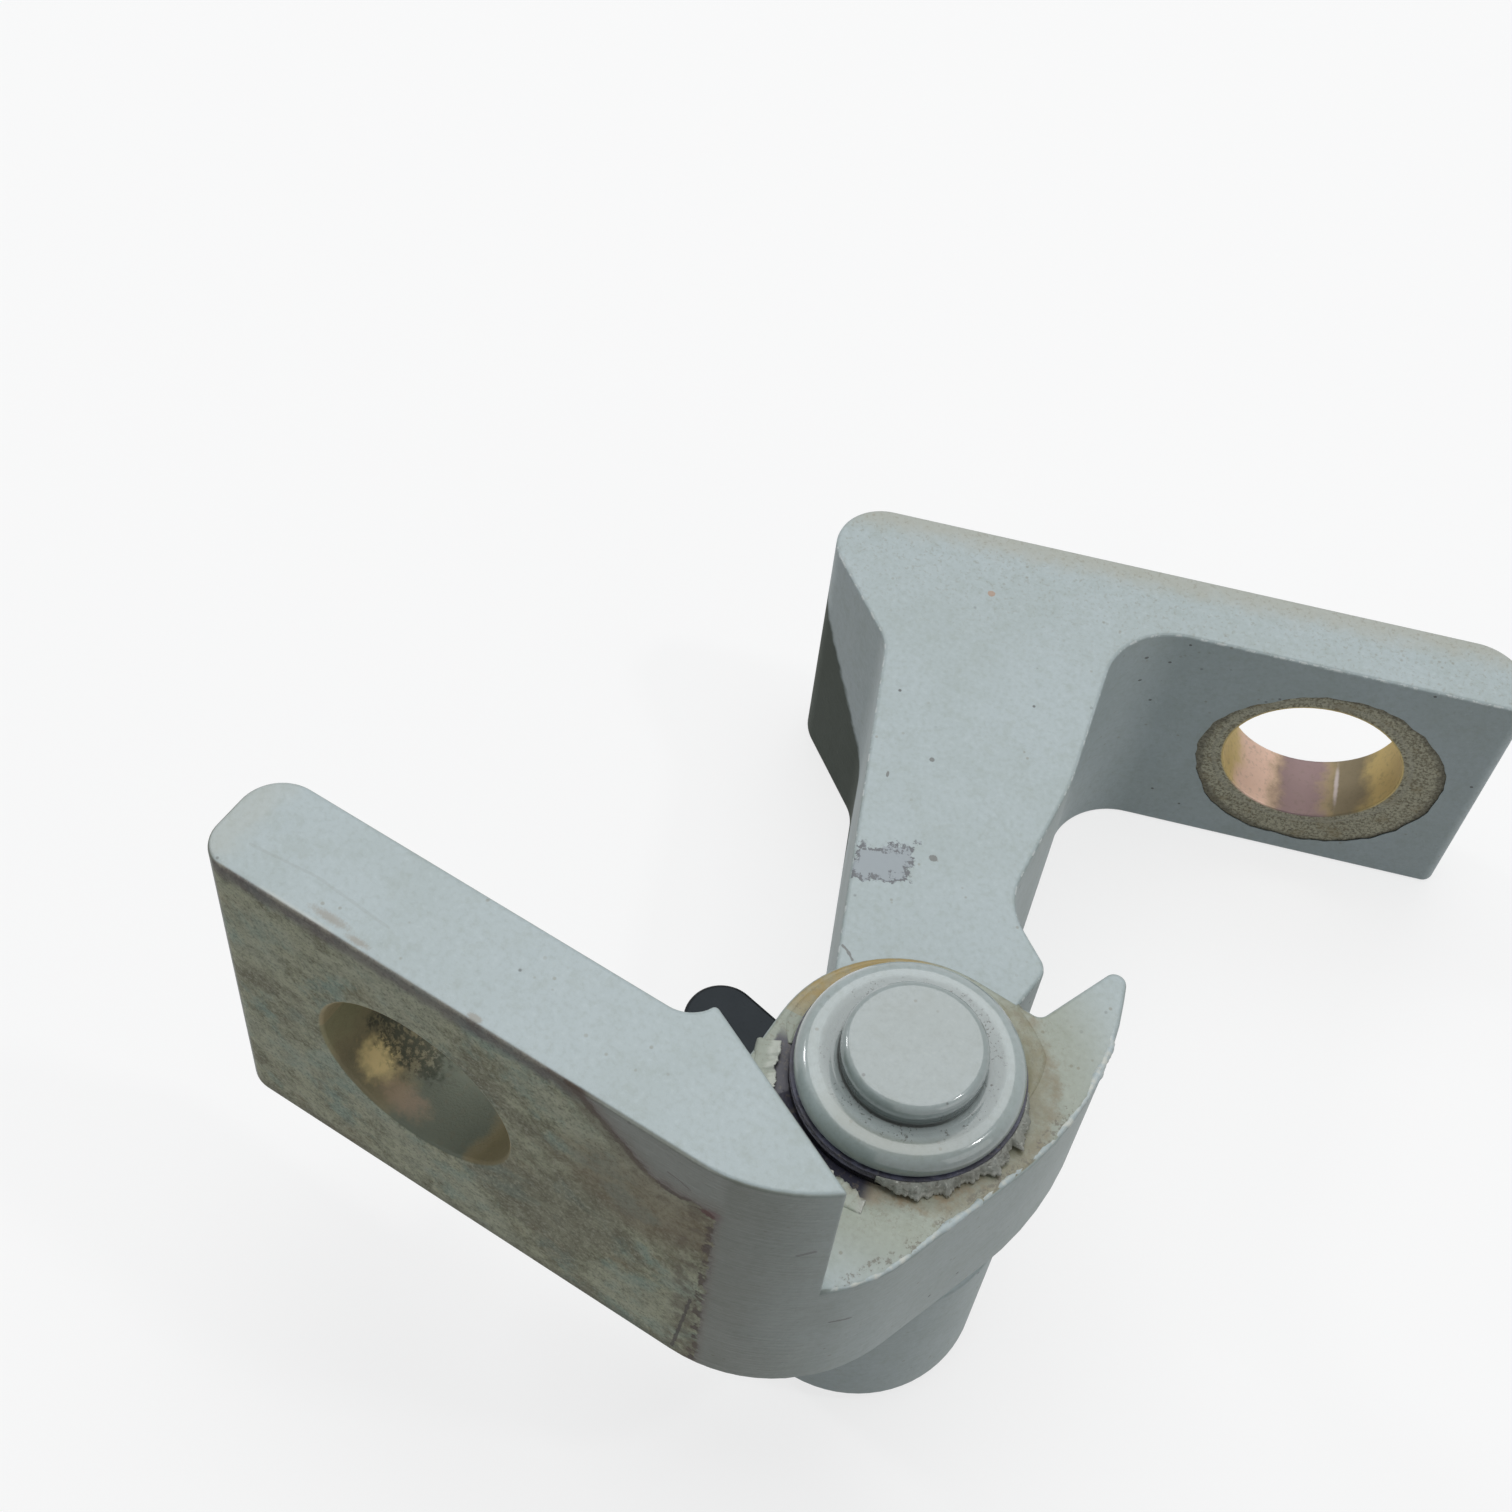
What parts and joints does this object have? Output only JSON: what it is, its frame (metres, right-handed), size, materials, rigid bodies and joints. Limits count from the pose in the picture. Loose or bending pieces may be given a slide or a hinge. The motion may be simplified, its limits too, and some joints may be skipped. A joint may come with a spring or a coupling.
{
  "type": "car door hinge",
  "caption": "Two-leaf steel hinge that carries a car door: a bolted body leaf and door leaf turn on one headed pin in flanged bushes, with a horn as the opening stop.",
  "frame": {"origin": "on the pin axis, in the plane of the hinge's underside", "axes": "+Z along the pin towards its head, -Y out of the body leaf's mounting face, -X along the body leaf's plate to its free end"},
  "size_m": [0.0685, 0.0892, 0.0512],
  "materials": {
    "body_paint": "worn pale grey-blue paint over steel",
    "door_paint": "worn pale grey-blue paint over steel",
    "pin_paint": "pale grey-blue paint",
    "washer_paint": "pale grey-blue paint, torn at the rim",
    "bush_metal": "dark coated steel"
  },
  "bodies": {
    "body_side": {"body_leaf": "body_paint", "upper_bush": "bush_metal", "lower_bush": "bush_metal"},
    "door_side": {"door_leaf": "door_paint", "hinge_pin": "pin_paint", "head_washer": "washer_paint"}
  },
  "joints": [
    {"name": "door_swing", "type": "hinge", "parent": "body_side", "child": "door_side", "pos_m": [0, 0, 0.02], "axis": [0, 0, 1], "range_deg": [-16.5, 68]}
  ]
}
